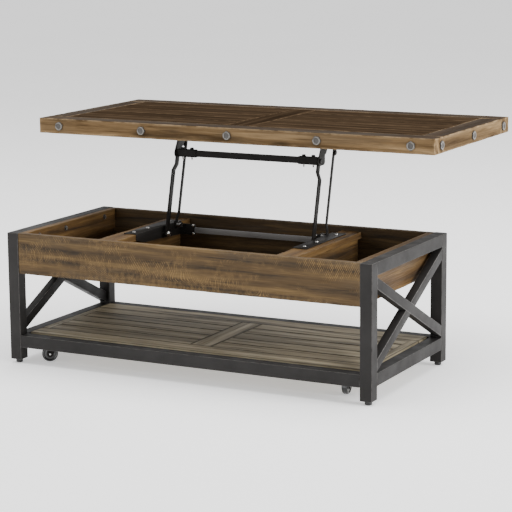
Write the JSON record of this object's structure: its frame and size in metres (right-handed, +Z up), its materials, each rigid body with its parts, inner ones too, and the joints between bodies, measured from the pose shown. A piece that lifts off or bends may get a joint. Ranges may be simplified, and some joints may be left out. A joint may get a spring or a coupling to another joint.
{
  "type": "lift top coffee table",
  "caption": "Rectangular coffee table with an X-braced square-tube steel frame, plank shelf, open storage box and a wooden top on a parallelogram lift.",
  "frame": {"origin": "on the floor, under the centre of the raised table's bounding box", "axes": "+X along the long side, to the right seen from the front; +Y from the front to the back; +Z up"},
  "size_m": [1.35, 0.9052, 0.7224],
  "materials": {
    "frame_steel": "semi-gloss gunmetal grey",
    "box_wood": "warm brown, rough sawn, satin",
    "shelf_wood": "weathered grey brown, matt",
    "top_wood": "dark grey brown, worn satin",
    "top_edge_wood": "warm brown with worn edges",
    "black_steel": "black, satin, worn at the edges",
    "zinc_steel": "zinc plated",
    "caster_black": "black, polished",
    "foot_plastic": "black"
  },
  "bodies": {
    "base": {"box_apron_front": "box_wood", "box_apron_rear": "box_wood", "box_divider_left": "box_wood", "box_divider_right": "box_wood", "box_end_left": "box_wood", "box_end_right": "box_wood", "box_floor": "box_wood", "box_ledge_left": "box_wood", "box_ledge_right": "box_wood", "brace_long_left": "frame_steel", "brace_long_right": "frame_steel", "brace_lower_left": "frame_steel", "brace_lower_right": "frame_steel", "brace_upper_left": "frame_steel", "brace_upper_right": "frame_steel", "end_rail_bottom_left": "frame_steel", "end_rail_bottom_right": "frame_steel", "end_rail_top_left": "frame_steel", "end_rail_top_right": "frame_steel", "lift_base_plate_left": "black_steel", "lift_base_plate_right": "black_steel", "lift_spacer_bar": "zinc_steel", "lift_spring_left": "zinc_steel", "lift_spring_right": "zinc_steel", "long_rail_front": "frame_steel", "long_rail_rear": "frame_steel", "post_front_left": "frame_steel", "post_front_right": "frame_steel", "post_rear_left": "frame_steel", "post_rear_right": "frame_steel", "shelf_board_front": "shelf_wood", "shelf_board_left": "shelf_wood", "shelf_board_middle": "shelf_wood", "shelf_board_rear": "shelf_wood", "shelf_board_right": "shelf_wood", "shelf_planks": "shelf_wood"},
    "front_arms": {"lift_front_arm_left": "black_steel", "lift_front_arm_right": "black_steel", "lift_cross_tube": "black_steel"},
    "rear_arm_left": {"lift_rear_arm_left": "black_steel"},
    "rear_arm_right": {"lift_rear_arm_right": "black_steel"},
    "top": {"lift_top_bracket_left": "black_steel", "lift_top_bracket_right": "black_steel", "top_edge_front": "top_edge_wood", "top_edge_left": "top_edge_wood", "top_edge_rear": "top_edge_wood", "top_edge_right": "top_edge_wood", "top_panel": "top_wood"},
    "foot_front_left": {"foot_front_left": "foot_plastic"},
    "foot_front_right": {"foot_front_right": "foot_plastic"},
    "foot_rear_left": {"foot_rear_left": "foot_plastic"},
    "foot_rear_right": {"foot_rear_right": "foot_plastic"},
    "caster_front_left": {"caster_fork_front_left": "black_steel"},
    "wheel_front_left": {"caster_wheel_front_left": "caster_black"},
    "caster_front_right": {"caster_fork_front_right": "black_steel"},
    "wheel_front_right": {"caster_wheel_front_right": "caster_black"},
    "caster_rear_left": {"caster_fork_rear_left": "black_steel"},
    "wheel_rear_left": {"caster_wheel_rear_left": "caster_black"},
    "caster_rear_right": {"caster_fork_rear_right": "black_steel"},
    "wheel_rear_right": {"caster_wheel_rear_right": "caster_black"}
  },
  "joints": [
    {"name": "lift", "type": "hinge", "parent": "base", "child": "front_arms", "pos_m": [0, -0.09455, 0.371], "axis": [1, 0, 0], "range_deg": [0, 108.6]},
    {"name": "rear_arm_left_pivot", "type": "hinge", "parent": "base", "child": "rear_arm_left", "pos_m": [-0.25715, -0.01755, 0.3885], "axis": [1, 0, 0], "range_deg": [0, 108.6]},
    {"name": "rear_arm_right_pivot", "type": "hinge", "parent": "base", "child": "rear_arm_right", "pos_m": [0.25715, -0.01755, 0.3885], "axis": [1, 0, 0], "range_deg": [0, 108.6]},
    {"name": "top_level", "type": "hinge", "parent": "front_arms", "child": "top", "pos_m": [0, -0.03262, 0.6194], "axis": [1, 0, 0], "range_deg": [-108.6, 0]},
    {"name": "foot_front_left_turn", "type": "hinge", "parent": "base", "child": "foot_front_left", "pos_m": [-0.587, -0.43355, 0], "axis": [0, 0, 1], "continuous": true},
    {"name": "foot_front_right_turn", "type": "hinge", "parent": "base", "child": "foot_front_right", "pos_m": [0.587, -0.43355, 0], "axis": [0, 0, 1], "continuous": true},
    {"name": "foot_rear_left_turn", "type": "hinge", "parent": "base", "child": "foot_rear_left", "pos_m": [-0.587, 0.08445, 0], "axis": [0, 0, 1], "continuous": true},
    {"name": "foot_rear_right_turn", "type": "hinge", "parent": "base", "child": "foot_rear_right", "pos_m": [0.587, 0.08445, 0], "axis": [0, 0, 1], "continuous": true},
    {"name": "caster_front_left_swivel", "type": "hinge", "parent": "base", "child": "caster_front_left", "pos_m": [-0.486, -0.37655, 0.07], "axis": [0, 0, 1], "continuous": true},
    {"name": "caster_front_left_roll", "type": "hinge", "parent": "caster_front_left", "child": "wheel_front_left", "pos_m": [-0.50402, -0.38917, 0.0255], "axis": [0.5736, -0.8192, 0], "continuous": true},
    {"name": "caster_front_right_swivel", "type": "hinge", "parent": "base", "child": "caster_front_right", "pos_m": [0.486, -0.37655, 0.07], "axis": [0, 0, 1], "continuous": true},
    {"name": "caster_front_right_roll", "type": "hinge", "parent": "caster_front_right", "child": "wheel_front_right", "pos_m": [0.48408, -0.35464, 0.0255], "axis": [-0.9962, -0.0872, 0], "continuous": true},
    {"name": "caster_rear_left_swivel", "type": "hinge", "parent": "base", "child": "caster_rear_left", "pos_m": [-0.486, 0.02745, 0.07], "axis": [0, 0, 1], "continuous": true},
    {"name": "caster_rear_left_roll", "type": "hinge", "parent": "caster_rear_left", "child": "wheel_rear_left", "pos_m": [-0.50285, 0.04159, 0.0255], "axis": [-0.6428, -0.766, 0], "continuous": true},
    {"name": "caster_rear_right_swivel", "type": "hinge", "parent": "base", "child": "caster_rear_right", "pos_m": [0.486, 0.02745, 0.07], "axis": [0, 0, 1], "continuous": true},
    {"name": "caster_rear_right_roll", "type": "hinge", "parent": "caster_rear_right", "child": "wheel_rear_right", "pos_m": [0.50402, 0.04007, 0.0255], "axis": [-0.5736, 0.8192, 0], "continuous": true}
  ],
  "couplings": [
    {"joint": "rear_arm_left_pivot", "follows": "lift", "ratio": 1},
    {"joint": "rear_arm_right_pivot", "follows": "lift", "ratio": 1},
    {"joint": "top_level", "follows": "lift", "ratio": -1}
  ]
}
